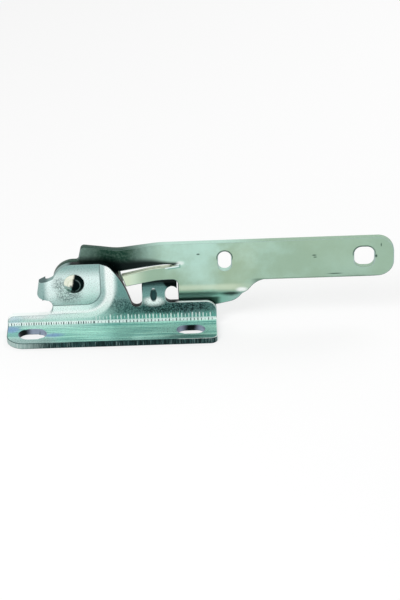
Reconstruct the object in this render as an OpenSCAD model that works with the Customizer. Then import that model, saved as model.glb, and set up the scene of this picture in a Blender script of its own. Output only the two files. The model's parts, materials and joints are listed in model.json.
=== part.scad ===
// Car bonnet hinge: a pressed steel base bracket and a pressed steel arm that swings on one rivet
// Shown closed, with the mounting face on Z = 0, the pivot above the origin and the arm along +X

/* [Sheet] */
// Thickness of the bracket's steel sheet
bracket_t = 4; // [3:0.25:4.5]
// Thickness of the arm's steel sheet
arm_t = 4; // [3:0.25:5]

/* [Bracket flange] */
// Length of the bracket on the left of the pivot
base_left = 44; // [40:1:60]
// Length of the bracket on the right of the pivot
base_right = 91; // [86:0.5:110]
// Depth of the flange, from its front edge to the face of the web
flange_depth = 25.5; // [22:0.5:40]
// Inner radius of the fold between flange and web
fold_r = 2; // [1:0.25:4]
// Radius of the flange's front left corner
left_corner_r = 12; // [4:0.5:14]
// Radius of the flange's front right corner
right_corner_r = 4.5; // [2:0.5:12]
// Distance from the slots' centre line to the face of the web
slot_setback = 13; // [12:0.5:16]
// Length of the fixing slots
slot_length = 17.5; // [15:0.5:20]
// Width of the left fixing slot
left_slot_w = 13; // [9:0.5:14]
// Width of the right fixing slot
right_slot_w = 10.5; // [7:0.5:13]
// Distance from the pivot to the middle of the left slot
left_slot_x = 27.5; // [24:0.5:28]
// Distance from the pivot to the middle of the right slot
right_slot_x = 74; // [60:0.5:76]

/* [Bracket web] */
// Height of the pivot above the mounting face
pivot_height = 31.5; // [30:0.5:40]
// Height of the low strip at the left end
strip_height = 10.8; // [9:0.2:11.4]
// Height of the web at the right end
right_height = 17.2; // [15:0.2:20]
// Radius of the web's top right corner
right_end_r = 7; // [2:0.5:8]
// Radius of the strip's top left corner
strip_end_r = 5; // [1:0.5:6]
// Distance from the pivot to the root of the notch beside the stop tab
notch_x = 14.6; // [12:0.2:15]
// Radius of the notch beside the stop tab
notch_r = 4.4; // [2:0.2:4.6]
// Reach of the pivot plateau around and above the pivot
plateau_r = 13.9; // [12.5:0.1:18]
// Distance from the pivot to the corner at the right end of the plateau's top edge
plateau_top = 22.1; // [20:0.1:24]
// Radius at the right end of the plateau's top edge
shoulder_r = 7; // [3:0.5:9]
// Lean of the slanted edge from upright, above its knee
slant_angle = 37; // [32:0.5:42]
// Lean of the slanted edge from upright, below its knee
slant_low_angle = 18; // [14:0.5:22]
// Distance from the pivot to the slanted edge's knee
slant_knee_x = 31.3; // [30:0.1:33]
// Radius of the slanted edge's knee
slant_knee_r = 50; // [20:1:60]

/* [Pivot recess] */
// Depth by which the pivot plateau is pushed back
recess_depth = 2.2; // [1.5:0.1:3]
// Distance from the pivot to the foot of the recess wall on the right
recess_right = 16.8; // [14.5:0.1:17]
// Distance from the pivot down to the foot of the recess wall
recess_down = 15.2; // [14:0.1:16]
// Corner radius along the foot of the recess wall
recess_corner_r = 10; // [5:0.5:12]
// Slope of the recess wall
recess_slope = 36; // [30:1:50]
// Radius in the foot of the recess wall
recess_foot_r = 0.5; // [0.4:0.1:2]
// Radius over the brow of the recess wall
recess_brow_r = 6.5; // [5:0.5:7]

/* [Open stop tab] */
// Width of the stop tab
tab_w = 12.5; // [11:0.5:13]
// Distance from the pivot to the start of the tab's bend
tab_x = 15.6; // [15:0.1:16]
// Run of the plateau's left edge down to the tab's upper edge
tab_root = 1.6; // [1.5:0.1:3]
// Fall of the tab's edges towards its bend
tab_fall = 27; // [16:1:29]
// Lean of the tab's bend from upright
tab_lean = 10; // [0:1:12]
// Radius of the tab's lower corner
tab_corner_r = 4; // [1:0.5:5]
// Inner radius of the tab's bend
tab_bend_r = 3.5; // [2:0.25:4]
// Straight run of the tab behind its bend
tab_back = 2; // [1:0.1:5]

/* [Closing stop lug] */
// Distance from the pivot to the lug's left side
lug_x = 43.3; // [42:0.1:46]
// Width of the lug
lug_w = 14.9; // [12:0.1:16]
// Height of the lug's top above the pivot
lug_top = -0.9; // [-3:0.1:0]
// Inner radius of the lug's bend
lug_bend_r = 5.5; // [4:0.25:6]
// Straight run of the lug behind its bend
lug_back = 2; // [1:0.5:6]
// Radius in the notch on the left of the lug
lug_left_r = 3.5; // [2.8:0.1:3.8]
// Radius in the corner on the right of the lug
lug_right_r = 3.6; // [1:0.1:4]
// Reach of the lug's bent edge past its neck on the right
lug_flare = 7.6; // [2:0.1:7.8]
// Width of the round relief under the bent edge's right end
relief_w = 8.6; // [8.2:0.1:10]
// Height of the relief's upper end above the pivot
relief_top = -4; // [-5:0.1:-3]
// Length of the stiffening dart pressed into the lug's bend
dart_length = 10; // [6:0.1:11]
// Width of the dart
dart_w = 4.4; // [3:0.1:6]
// Depth of the dart
dart_depth = 1.9; // [1:0.1:2.2]
// Distance from the lug's top down to the middle of the dart
dart_drop = 7.8; // [7:0.1:9]
// Lean of the dart from upright
dart_lean = 10; // [5:1:15]

/* [Arm] */
// Distance from the pivot to the arm's tip
arm_reach = 205; // [190:1:260]
// Width of the arm's straight bar
bar_w = 27.6; // [24:0.2:30]
// Height of the bar's lower edge above the pivot
bar_low = 0.2; // [-1:0.1:1]
// Radius of the tip's corners
tip_r = 10.5; // [3:0.5:12]
// Radius of the arm's eye around the pivot
eye_r = 13.5; // [12:0.1:15]
// Reach of the stop ear from the pivot
ear_reach = 24.3; // [23:0.1:27]
// Angle of the ear's stop edge
ear_angle = 77; // [74:0.5:80]
// Distance from the pivot to the dip in the arm's top edge
dip_x = 26.7; // [25:0.1:28]
// Height of the dip above the pivot
dip_z = 20.8; // [19:0.1:22]
// Radius of the dip
dip_r = 30; // [10:1:40]
// Distance from the pivot to the crest where the bar's top edge begins
crest_x = 53; // [48:0.5:60]
// Depth of the crest below the top edge at the tip
crest_drop = 0.5; // [0:0.1:2]
// Radius over the crest
crest_r = 40; // [10:1:60]
// Radius of the ear's outer corner
ear_r = 2.5; // [1:0.1:4]
// Distance from the pivot to the start of the set in the arm
set_x = 18; // [16:0.5:19]
// Slope of the set in the arm
set_slope = 15; // [14:0.5:18]
// Radius of the two bends of the set
set_bend_r = 30; // [20:1:36]

/* [Tongue] */
// Width of the tongue that lands on the lug
tongue_w = 8.9; // [7:0.1:10]
// Distance from the pivot to the tongue's lower free corner
tongue_x = 33; // [32:0.1:35]
// Lean of the tongue's free end
tongue_lean = 17; // [10:1:20]
// Distance from the pivot to the knee in the tongue's line
tongue_knee_x = 54; // [52:0.5:58]
// Radius of the knee
tongue_knee_r = 60; // [30:1:80]
// Radius in the corner between the tongue and the lip
tongue_root_r = 3.5; // [2:0.1:5]
// Drop of the tongue's line towards its free end
tongue_slope = 11.6; // [8:0.2:12]
// Width of the slit above the tongue, at its closed end
slit_w = 2.2; // [1.6:0.1:3]
// Width of the slit at its open end
slit_open_w = 0.6; // [0.4:0.1:1.5]
// Distance from the pivot to the closed end of the slit
slit_x = 68.6; // [66:0.1:72]
// Width of the cut at the tongue's free end
end_cut_w = 1.2; // [0.8:0.1:1.6]

/* [Guide lip] */
// Distance from the pivot to the lip's left edge
lip_x = 66.6; // [64:0.1:68]
// Distance from the pivot to where the lip's right edge leaves the bar
lip_end_x = 117.5; // [112:0.5:122]
// Length over which the lip's right edge slants away from the bar
lip_slant = 13.5; // [10:0.5:18]
// Length over which the lip's lower edge rises to the right
lip_rise_run = 16; // [12:0.5:20]
// Height by which the lip's lower edge rises to the right
lip_rise = 3.4; // [1:0.1:5]
// Radius where the bar's lower edge turns into the lip
lip_throat_r = 14; // [6:0.5:20]
// Radius of the lip's right corner
lip_heel_r = 12; // [2:0.5:13]
// Depth of the lip's lower edge below the pivot
lip_drop = 20.3; // [18:0.1:21]
// Depth of the lip's bend line below the pivot
lip_bend_drop = 5; // [4:0.1:6]
// Slope of the lip's set
lip_slope = 45; // [40:1:50]
// Inner radius of the lip's bends
lip_bend_r = 2; // [1.5:0.25:2.5]

/* [Arm fixings] */
// Distance from the pivot to the slot in the arm
arm_slot_x = 96.9; // [90:0.1:110]
// Width of the slot in the arm
arm_slot_w = 8.4; // [6:0.1:10]
// Height of the slot in the arm
arm_slot_h = 13.4; // [11:0.1:16]
// Distance from the arm's tip back to the square hole
arm_hole_inset = 19; // [17:0.5:45]
// Width of the square hole
arm_hole_w = 12.8; // [10:0.1:16]
// Height of the square hole
arm_hole_h = 14; // [11:0.1:16]
// Corner radius of the square hole
arm_hole_r = 4.8; // [2:0.1:5]

/* [Pivot] */
// Diameter of the rivet's shank
shank_d = 10; // [8:0.5:12]
// Diameter of the rivet's front head
head_d = 13.2; // [12.6:0.1:18]
// Height of the rivet's front head
head_h = 3.6; // [2:0.1:4.5]
// Height of the front head's straight rim
head_rim = 0.5; // [0.3:0.1:1.2]
// Diameter of the ring turned into the front head
ring_d = 8.2; // [6:0.1:9]
// Depth of the turned ring
ring_depth = 0.3; // [0.1:0.05:0.5]
// Diameter of the formed head at the back
tail_d = 15; // [14:0.5:18]
// Height of the formed head at the back
tail_h = 3.2; // [2:0.1:5]
// Height of the formed head's straight rim
tail_rim = 1; // [0.5:0.1:1.6]
// Outside diameter of the two washers
washer_d = 21; // [18:0.5:24]
// Thickness of the spacer washer between bracket and arm
spacer_t = 1.4; // [1:0.1:3]
// Thickness of the washer under the formed head
washer_t = 1.2; // [0.8:0.1:2]

/* [Fits] */
// Radial clearance of the shank in the bracket and the washers
seat_clearance = 0.02; // [0.01:0.01:0.05]
// Radial clearance of the arm's bore on the shank
running_clearance = 0.06; // [0.02:0.01:0.1]
// Play of the arm on each of its faces, between the washers
axial_play = 0.05; // [0.02:0.01:0.15]
// Gap between the tongue and the lug when closed
stop_gap = 0.5; // [0.3:0.1:1.5]
// Gap between the guide lip and the back of the bracket
lip_gap = 1; // [0.5:0.1:2]

/* [Hidden] */
$fn = 96;

// Degrees of arc for each step along a rounded corner or a bend
arc_step = 5;
// Spare length by which a cutter or a trimming outline stands past the sheet
spare = 1;
// Reach of the trimming outlines in front of and behind the hinge
trim_y = 40;
// Least straight run between two corners of an outline
hair = 0.01;
// Radii of small sheared corners
nick_r = 0.8;
toe_r = 2;
heel_r = 9;
tab_top_r = 3;

zinc_green = [0.63, 0.76, 0.70];
zinc_pale = [0.70, 0.79, 0.75];
bright_steel = [0.78, 0.79, 0.76];
washer_steel = [0.60, 0.66, 0.63];

// Heights of the bracket's edges, measured from the pivot
floor_z = -pivot_height;
fold_z = floor_z + bracket_t + fold_r;
strip_z = strip_height - pivot_height;
right_z = right_height - pivot_height;
// Lengths that cover the bracket and the arm in any direction from the pivot
web_far = base_right + pivot_height;
arm_far = arm_reach + eye_r;

// Angle round the pivot at which the plateau's arc runs into the tab
plateau_tangent = 156;
tab_top = plateau_r * [cos(plateau_tangent), sin(plateau_tangent)]
    + tab_root * [-sin(plateau_tangent), cos(plateau_tangent)];
tab_mid = tab_top[1] - tab_w / 2;
// Left limit of the tab's outline, its fall down to there and the reach of the tab's sheet below its middle
tab_end = -tab_x - tab_bend_r - bracket_t - tab_w * tan(tab_lean);
tab_sink = (tab_top[0] - tab_end) * tan(tab_fall);
tab_reach = tab_w / 2 + tab_sink + 3 * spare;
lug_bend_z = lug_top - lug_bend_r - bracket_t;
lug_right = lug_x + lug_w;
lug_mid = lug_x + lug_w / 2;
// Height of the slanted edge's knee, and of the point where its lower run would meet the lug's side
knee_z = plateau_r - (slant_knee_x - plateau_top) / tan(slant_angle);
notch_foot = knee_z - (lug_x - slant_knee_x) / tan(slant_low_angle);

// Depths of the pieces on the pivot, behind the face of the web
spacer_y = recess_depth + bracket_t;
arm_y = spacer_y + spacer_t + axial_play;
washer_y = arm_y + arm_t + axial_play;
tail_y = washer_y + washer_t;

// The tongue's lower edge clears the lug's top left corner by the stop gap
tongue_low = lug_top + stop_gap + (tongue_knee_x - lug_x) * tan(tongue_slope);
tongue_high = tongue_low + tongue_w;
slit_high = tongue_high + slit_w;
arm_hole_x = arm_reach - arm_hole_inset;
// Lower and upper corner of the tongue's free end
tongue_free = [tongue_x, tongue_low - (tongue_knee_x - tongue_x) * tan(tongue_slope)];
tongue_end_x = tongue_x - tongue_w * tan(tongue_lean);
tongue_end = [tongue_end_x, tongue_high - (tongue_knee_x - tongue_end_x) * tan(tongue_slope)];
bar_high = bar_low + bar_w;
bar_mid = bar_low + bar_w / 2;
lip_shift = bracket_t + lip_gap;

// Straight part of a set whose two bends have the front radii foot and brow
function set_slant(shift, foot, brow, slope) =
    (shift - (foot + brow) * (1 - cos(slope))) / sin(slope);

// Distance along the sheet that a set takes up
function set_run(shift, foot, brow, slope) =
    (foot + brow) * sin(slope) + set_slant(shift, foot, brow, slope) * cos(slope);

// Points of an arc about a centre, from one angle to another
function arc_points(centre, r, from, to) =
    let (steps = max(1, ceil(abs(to - from) / arc_step)))
    [
        for (i = [0:steps])
            let (a = from + (to - from) * i / steps)
            centre + r * [cos(a), sin(a)]
    ];

function unit(v) = v / norm(v);
function flat_point(p) = [p[0], p[1]];
function near_turn(a) = a > 180 ? a - 360 : a < -180 ? a + 360 : a;

// Points of the arc of radius r in the corner b between the points a and c
function corner_points(a, b, c, r) =
    let (u = unit(a - b))
    let (v = unit(c - b))
    let (half = acos(u * v) / 2)
    let (centre = b + unit(u + v) * r / sin(half))
    let (start = b + u * r / tan(half) - centre)
    let (end = b + v * r / tan(half) - centre)
    let (from = atan2(start[1], start[0]))
    let (turn = near_turn(atan2(end[1], end[0]) - from))
    r == 0 ? [b] : arc_points(centre, r, from, from + turn);

// Outline through corners given as [x, z, radius]
function rounded(corners) =
    let (n = len(corners))
    [
        for (i = [0:n - 1])
            each corner_points(
                flat_point(corners[(i + n - 1) % n]),
                flat_point(corners[i]),
                flat_point(corners[(i + 1) % n]),
                corners[i][2]
            )
    ];

// Section of a sheet that steps along +X from Y = shift down to Y = 0, its front face.
// The set starts at X = 0, with a flat lead before it and a flat tail after it.
module set_section(lead, shift, foot, brow, slope, tail, t) {
    run = set_run(shift, foot, brow, slope);
    foot_centre = [0, shift - foot];
    brow_centre = [run, brow];
    polygon(concat(
        [[-lead, shift]],
        arc_points(foot_centre, foot, 90, 90 - slope),
        arc_points(brow_centre, brow, 270 - slope, 270),
        [[run + tail, 0], [run + tail, t]],
        arc_points(brow_centre, brow - t, 270, 270 - slope),
        arc_points(foot_centre, foot + t, 90 - slope, 90),
        [[-lead, shift + t]]
    ));
}

// Section of a sheet along +X that is folded square to its left, with its thickness on the +Y side
module fold_section(run, inner_r, rise, t) {
    outer_r = inner_r + t;
    if (run > 0) square([run, t]);
    translate([run, outer_r]) intersection() {
        difference() {
            circle(outer_r);
            circle(inner_r);
        }
        translate([0, -outer_r]) square(outer_r);
    }
    if (rise > 0) translate([run + inner_r, outer_r]) square([t, rise]);
}

// An outline drawn in X and Z, given a depth from y0 to y1
module upright_plate(y0, y1) {
    translate([0, y1, 0]) rotate([90, 0, 0]) linear_extrude(y1 - y0) children();
}

// A section drawn in Y and Z, drawn out along X from x0 to x1
module along_x(x0, x1) {
    translate([x0, 0, 0]) rotate([90, 0, 90]) linear_extrude(x1 - x0) children();
}

// A slot with round ends, drawn around its middle
module slot_shape(length, width) {
    run = length - width;
    square([run, width], center = true);
    for (side = [-1, 1]) translate([side * run / 2, 0]) circle(d = width);
}

// A rectangle with round corners, drawn around its middle
module rounded_rect(w, h, r) {
    square([w - 2 * r, h], center = true);
    square([w, h - 2 * r], center = true);
    for (x = [-1, 1], z = [-1, 1]) translate([x * (w / 2 - r), z * (h / 2 - r)]) circle(r);
}

// Moves a piece from the pivot's axes to the part's own axes
module at_pivot() {
    translate([0, slot_setback, pivot_height]) children();
}

// Outline of the bracket seen from the front
module bracket_outline() {
    tab_low = tab_top[1] - tab_w;
    lug_root_r = min(lug_right_r, lug_bend_z - right_z - hair);
    polygon(rounded([
        [-base_left, floor_z - spare, 0],
        [-base_left, strip_z, strip_end_r],
        [-notch_x, strip_z, notch_r],
        [-notch_x, tab_low, notch_r],
        [tab_end, tab_low - tab_sink, tab_corner_r],
        [tab_end, tab_top[1] - tab_sink, 0],
        [tab_top[0], tab_top[1], tab_top_r],
        [-plateau_r * tan((plateau_tangent - 90) / 2), plateau_r, plateau_r],
        [plateau_top, plateau_r, shoulder_r],
        [slant_knee_x, knee_z, slant_knee_r],
        [lug_x, notch_foot, lug_left_r],
        [lug_x, lug_bend_z, 0],
        [lug_right, lug_bend_z, 0],
        [lug_right, right_z, lug_root_r],
        [base_right, right_z, right_end_r],
        [base_right, floor_z - spare, 0]
    ]));
}

// Outline of the bracket seen from above, with the flange's round front corners
module flange_outline() {
    polygon(rounded([
        [-base_left, -flange_depth, left_corner_r],
        [base_right, -flange_depth, right_corner_r],
        [base_right, trim_y, 0],
        [-base_left, trim_y, 0]
    ]));
}

// Section across the recess's wall, from a flat lead out over the web
module recess_section(lead) {
    set_section(lead, recess_depth, recess_foot_r, recess_brow_r, recess_slope, web_far, bracket_t);
}

// The web with its recess: the plateau, a wall on the right, a wall below and the corner between
module web_sheet() {
    corner_x = recess_right - recess_corner_r;
    corner_z = recess_corner_r - recess_down;
    translate([-base_left, recess_depth, corner_z])
        cube([base_left + corner_x, bracket_t, web_far]);
    translate([recess_right, 0, corner_z]) linear_extrude(web_far) recess_section(recess_corner_r);
    translate([0, 0, -recess_down]) along_x(-base_left, corner_x) rotate(-90)
        recess_section(recess_corner_r);
    translate([corner_x, 0, corner_z]) rotate([-90, 0, 0]) rotate_extrude(angle = 90) {
        translate([0, recess_depth]) square([recess_corner_r, bracket_t]);
        translate([recess_corner_r, 0]) recess_section(recess_corner_r / 2);
    }
}

// Moves the tab's upright bend to its leaning place at the left of the plateau
module at_tab() {
    translate([-tab_x, recess_depth, tab_mid]) rotate([0, tab_lean, 0]) children();
}

// The web above the fold, as far as the start of the tab's bend
module trimmed_web() {
    difference() {
        web_sheet();
        at_tab() translate([-base_left, -spare, -tab_reach])
            cube([base_left, bracket_t + 2 * spare, web_far]);
        translate([-web_far, -spare, fold_z - web_far])
            cube([2 * web_far, bracket_t + recess_depth + 2 * spare, web_far]);
    }
}

// The stop tab: a bend to the back and a short straight run
module stop_tab() {
    at_tab() translate([0, 0, -tab_reach]) linear_extrude(tab_reach + tab_w) mirror([1, 0])
        fold_section(0, tab_bend_r, tab_back, bracket_t);
}

// The closing lug above the start of its bend, with the relief that leaves its neck
module stop_lug() {
    relief_h = relief_top - lug_bend_z + relief_w;
    difference() {
        translate([0, 0, lug_bend_z]) along_x(lug_x, lug_right + lug_flare) mirror([1, -1])
            fold_section(0, lug_bend_r, lug_back, bracket_t);
        upright_plate(-spare, trim_y)
            translate([lug_right + relief_w / 2, relief_top - relief_h / 2])
            rotate(90) slot_shape(relief_h, relief_w);
    }
}

// Cutter of the dart: an arc revolved about an upright line just in front of the lug
module dart() {
    bulge_r = (pow(dart_length / 2, 2) + pow(dart_depth, 2)) / (2 * dart_depth);
    axis_gap = (pow(dart_w / 2, 2) / dart_depth - dart_depth) / 2;
    centre = axis_gap + dart_depth - bulge_r;
    translate([lug_mid, 0, lug_top - dart_drop]) rotate([-dart_lean, 0, 0]) translate([0, -axis_gap, 0])
        rotate_extrude() intersection() {
            translate([centre, 0]) circle(bulge_r);
            translate([0, -dart_length]) square(2 * dart_length);
        }
}

// The flange and its fold, up to the foot of the web
module flange() {
    translate([0, -flange_depth, floor_z]) along_x(-base_left, base_right)
        fold_section(flange_depth - fold_r, fold_r, 0, bracket_t);
}

module bracket() {
    slots = [[-left_slot_x, left_slot_w], [right_slot_x, right_slot_w]];
    color(zinc_green) at_pivot() difference() {
        union() {
            intersection() {
                union() {
                    flange();
                    trimmed_web();
                    stop_tab();
                }
                upright_plate(-trim_y, trim_y) bracket_outline();
                translate([0, 0, floor_z - spare]) linear_extrude(web_far) flange_outline();
            }
            stop_lug();
        }
        for (slot = slots)
            translate([slot[0], -slot_setback, floor_z - spare])
                linear_extrude(bracket_t + 2 * spare) slot_shape(slot_length, slot[1]);
        dart();
        upright_plate(-spare, trim_y) circle(d = shank_d + 2 * seat_clearance);
    }
}

// Outline of the whole arm seen from the front, with the tongue and its slit
module arm_outline() {
    cut_x = tongue_end[0] - end_cut_w;
    cut_z = tongue_high + slit_open_w - (tongue_knee_x - cut_x) * tan(tongue_slope);
    ear = ear_reach * [cos(ear_angle), sin(ear_angle)];
    slit_r = slit_w / 2 - hair;
    polygon(rounded([
        [-eye_r, eye_r, eye_r],
        [eye_r / tan(ear_angle), eye_r, toe_r],
        [ear[0], ear[1], ear_r],
        [dip_x, dip_z, dip_r],
        [crest_x, bar_high - crest_drop, crest_r],
        [arm_reach, bar_high, tip_r],
        [arm_reach, bar_low, tip_r],
        [lip_end_x, bar_low, lip_throat_r],
        [lip_end_x - lip_slant, lip_rise - lip_drop, lip_heel_r],
        [lip_end_x - lip_slant - lip_rise_run, -lip_drop, heel_r],
        [lip_x, -lip_drop, toe_r],
        [lip_x, tongue_low, tongue_root_r],
        [tongue_knee_x, tongue_low, tongue_knee_r],
        [tongue_free[0], tongue_free[1], nick_r],
        [tongue_end[0], tongue_end[1], nick_r],
        [tongue_knee_x, tongue_high, tongue_knee_r],
        [slit_x, tongue_high, slit_r],
        [slit_x, slit_high, slit_r],
        [tongue_knee_x, slit_high, tongue_knee_r],
        [cut_x, cut_z, nick_r],
        [tongue_free[0] - end_cut_w, tongue_free[1], toe_r],
        [eye_r, -eye_r, heel_r],
        [-eye_r, -eye_r, eye_r]
    ]));
}

// Region of the arm that stays flat: the tongue, bounded by the middle of the cuts around it
module tongue_region() {
    middle = tongue_high + slit_w / 2;
    half_cut = end_cut_w / 2;
    end_x = tongue_end[0] - half_cut;
    polygon([
        [tongue_free[0] - half_cut, -arm_far],
        [slit_x, -arm_far],
        [slit_x, middle],
        [tongue_knee_x, middle],
        [end_x, tongue_high + slit_open_w / 2 - (tongue_knee_x - end_x) * tan(tongue_slope)],
        [tongue_free[0] - half_cut, tongue_free[1]]
    ]);
}

// Region of the guide lip, up to just above its bend line
module lip_region() {
    translate([lip_x - spare, -arm_far])
        square([arm_reach, arm_far - lip_bend_drop + spare]);
}

// The arm's sheet with the set that brings its eye behind the bracket
module set_sheet() {
    difference() {
        translate([set_x, 0, -arm_far]) linear_extrude(2 * arm_far)
            set_section(
                arm_far, arm_y, set_bend_r, set_bend_r + arm_t, set_slope, arm_far, arm_t
            );
        upright_plate(-trim_y, trim_y) tongue_region();
        upright_plate(-trim_y, trim_y) lip_region();
    }
}

// The tongue, flat in the plane of the bar
module tongue() {
    upright_plate(0, arm_t) difference() {
        tongue_region();
        lip_region();
    }
}

// The guide lip, set back so that it laps behind the bracket
module guide_lip() {
    brow = lip_bend_r + arm_t;
    run = set_run(lip_shift, lip_bend_r, brow, lip_slope);
    translate([0, 0, -lip_bend_drop - run]) along_x(lip_x - spare, arm_reach) mirror([1, -1])
        set_section(lip_drop, lip_shift, lip_bend_r, brow, lip_slope, spare, arm_t);
}

module hinge_arm() {
    color(zinc_pale) at_pivot() difference() {
        intersection() {
            union() {
                set_sheet();
                tongue();
                guide_lip();
            }
            upright_plate(-trim_y, trim_y) arm_outline();
        }
        upright_plate(-spare, trim_y) circle(d = shank_d + 2 * running_clearance);
        upright_plate(-spare, trim_y)
            translate([arm_slot_x, bar_mid]) rotate(90) slot_shape(arm_slot_h, arm_slot_w);
        upright_plate(-spare, trim_y)
            translate([arm_hole_x, bar_mid]) rounded_rect(arm_hole_w, arm_hole_h, arm_hole_r);
    }
}

// Turns a shape that was revolved about Z so that it points backwards along the pivot
module along_pivot(y) {
    at_pivot() translate([0, y, 0]) rotate([-90, 0, 0]) children();
}

// Radius of a dome of the given diameter and rise
function dome_radius(d, rise) = (pow(d / 2, 2) + pow(rise, 2)) / (2 * rise);

// Domed disc of a rivet's head, with its flat side on Z = 0 and its dome towards +Z
module rivet_dome(d, h, rim) {
    rise = h - rim;
    dome_r = dome_radius(d, rise);
    cylinder(d = d, h = rim);
    translate([0, 0, rim]) intersection() {
        translate([0, 0, rise - dome_r]) sphere(dome_r);
        cylinder(d = d, h = h);
    }
}

// The front head with its turned ring
module front_head() {
    dome_r = dome_radius(head_d, head_h - head_rim);
    ring_z = head_h - dome_r + sqrt(pow(dome_r, 2) - pow(ring_d / 2, 2));
    difference() {
        rivet_dome(head_d, head_h, head_rim);
        rotate_extrude() translate([ring_d / 2, ring_z]) circle(ring_depth);
    }
}

module pivot_rivet() {
    shank = tail_y - recess_depth;
    color(bright_steel) along_pivot(recess_depth) {
        mirror([0, 0, 1]) front_head();
        cylinder(d = shank_d, h = shank);
        translate([0, 0, shank]) rivet_dome(tail_d, tail_h, tail_rim);
    }
}

// Flat ring that sits on the rivet's shank
module flat_washer(t) {
    difference() {
        cylinder(d = washer_d, h = t);
        translate([0, 0, -spare]) cylinder(d = shank_d + 2 * seat_clearance, h = t + 2 * spare);
    }
}

module spacer_washer() {
    color(washer_steel) along_pivot(spacer_y) flat_washer(spacer_t);
}

module back_washer() {
    color(washer_steel) along_pivot(washer_y) flat_washer(washer_t);
}

bracket();
hinge_arm();
pivot_rivet();
spacer_washer();
back_washer();
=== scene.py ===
"""Zinc-plated finish and studio for a car bonnet hinge, laid out as an add-on and run as a script."""

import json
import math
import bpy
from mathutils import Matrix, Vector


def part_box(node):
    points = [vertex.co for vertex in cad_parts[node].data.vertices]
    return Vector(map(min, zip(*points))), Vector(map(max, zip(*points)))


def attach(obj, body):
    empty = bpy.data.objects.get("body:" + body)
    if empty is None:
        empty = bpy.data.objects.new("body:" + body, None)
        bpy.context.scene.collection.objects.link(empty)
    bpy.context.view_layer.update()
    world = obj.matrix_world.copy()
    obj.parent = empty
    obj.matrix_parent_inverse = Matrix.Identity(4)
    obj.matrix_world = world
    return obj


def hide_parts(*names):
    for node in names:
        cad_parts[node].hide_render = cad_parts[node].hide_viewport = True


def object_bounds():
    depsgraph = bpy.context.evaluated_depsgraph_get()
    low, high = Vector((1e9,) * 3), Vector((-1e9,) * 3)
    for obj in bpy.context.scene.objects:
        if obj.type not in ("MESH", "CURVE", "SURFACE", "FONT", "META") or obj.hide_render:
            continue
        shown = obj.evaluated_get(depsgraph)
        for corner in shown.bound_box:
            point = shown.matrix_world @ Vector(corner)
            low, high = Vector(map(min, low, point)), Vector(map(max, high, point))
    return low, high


bl_info = {
    "name": "Bonnet Hinge Finish",
    "version": (1, 0, 0),
    "blender": (4, 5, 0),
    "location": "View3D > Sidebar > Bonnet Hinge",
    "description": "Dresses the pressed sheets, rivet and washers of a bonnet hinge and lights them",
    "category": "Object",
}

import bmesh
import bpy
from bpy.props import FloatProperty, FloatVectorProperty, IntProperty, PointerProperty
from bpy.types import Operator, Panel, PropertyGroup
from mathutils import Vector

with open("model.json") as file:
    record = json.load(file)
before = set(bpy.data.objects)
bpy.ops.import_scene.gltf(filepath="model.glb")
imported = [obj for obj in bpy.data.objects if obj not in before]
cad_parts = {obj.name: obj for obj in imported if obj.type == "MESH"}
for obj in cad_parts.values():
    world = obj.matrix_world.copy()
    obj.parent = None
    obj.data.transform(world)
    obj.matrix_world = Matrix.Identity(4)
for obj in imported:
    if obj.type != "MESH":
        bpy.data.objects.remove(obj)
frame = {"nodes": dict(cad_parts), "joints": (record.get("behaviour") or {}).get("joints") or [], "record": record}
CAD_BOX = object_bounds()

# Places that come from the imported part, in metres
MM = 0.001
MOUNTS = {mount["name"]: mount for mount in frame["record"]["mounts"]}
BASE_SLOTS = ("left_base_slot", "right_base_slot")
PIVOT = Vector(frame["joints"][0]["pos_m"])
WEB_FACE_Y = MOUNTS["arm_face"]["pos_m"][1]
BRACKET_LOW, BRACKET_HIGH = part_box("bracket")

# Middle of the recess's corner and its radius, and the slit's knee, fall and rise
# These and the places of the tints are in millimetres, on the part's own axes
RECESS_CENTRE = (6.8, 26.3)
RECESS_CORNER = 10.0
SLIT_KNEE = (54.0, 42.6)
SLIT_FALL = 0.205
SLIT_RISE = 0.13

# Middle and half width of the lug, and half widths of the tint in a base slot
LUG_X, LUG_HALF = 54.5, 12.0
SLOT_HALF_X, SLOT_HALF_Y = 10.0, 8.0

# Patches on the bracket: middle and reach
FOLD_GRIME = ((64, 13, 13.5), (44, 14, 7))
SLOPE_GRIME = ((34, 13, 17), (22, 12, 12))
PLATEAU_GRIME = [((-3.5, 15, 22.5), (12, 6, 7)), ((-9.5, 15, 31), (6, 6, 8))]
LUG_FOOT_HIGHLIGHT = ((50.7, 13, 18.5), (9, 8, 5))
DART = ((50.7, 15, 22.2), (3.0, 9, 6.0))
DART_GLINTS = [((50.9, 15, 20.3), (1.3, 9, 2.6)), ((50.7, 15, 25.9), (1.3, 9, 1.2))]
DART_RIM = ((50.7, 15, 22.5), (4, 9, 7))
DART_RIM_GLINT = ((50.7, 15, 26.0), (1.0, 9, 1.0))
SLOT_SHADES = [((-34, 5, 2), (7, 9, 9)), ((74, 5, 2), (7, 9, 9))]

# Patches on the flange: colour, middle, reach and cover
FLANGE_PATCHES = [
    ("flange_deep", (-38, 2, 4), (16, 11, 6), 0.6),
    ("edge", (-34, -11, 4), (32, 12, 8), 0.9),
    ("violet", (-42, 7, 4), (9, 6, 6), 0.7),
    ("violet", (-14, -2, 4), (9, 4, 6), 0.7),
    ("specks_and_shade", (72, -9, 4), (26, 4, 6), 0.6),
]

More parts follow.
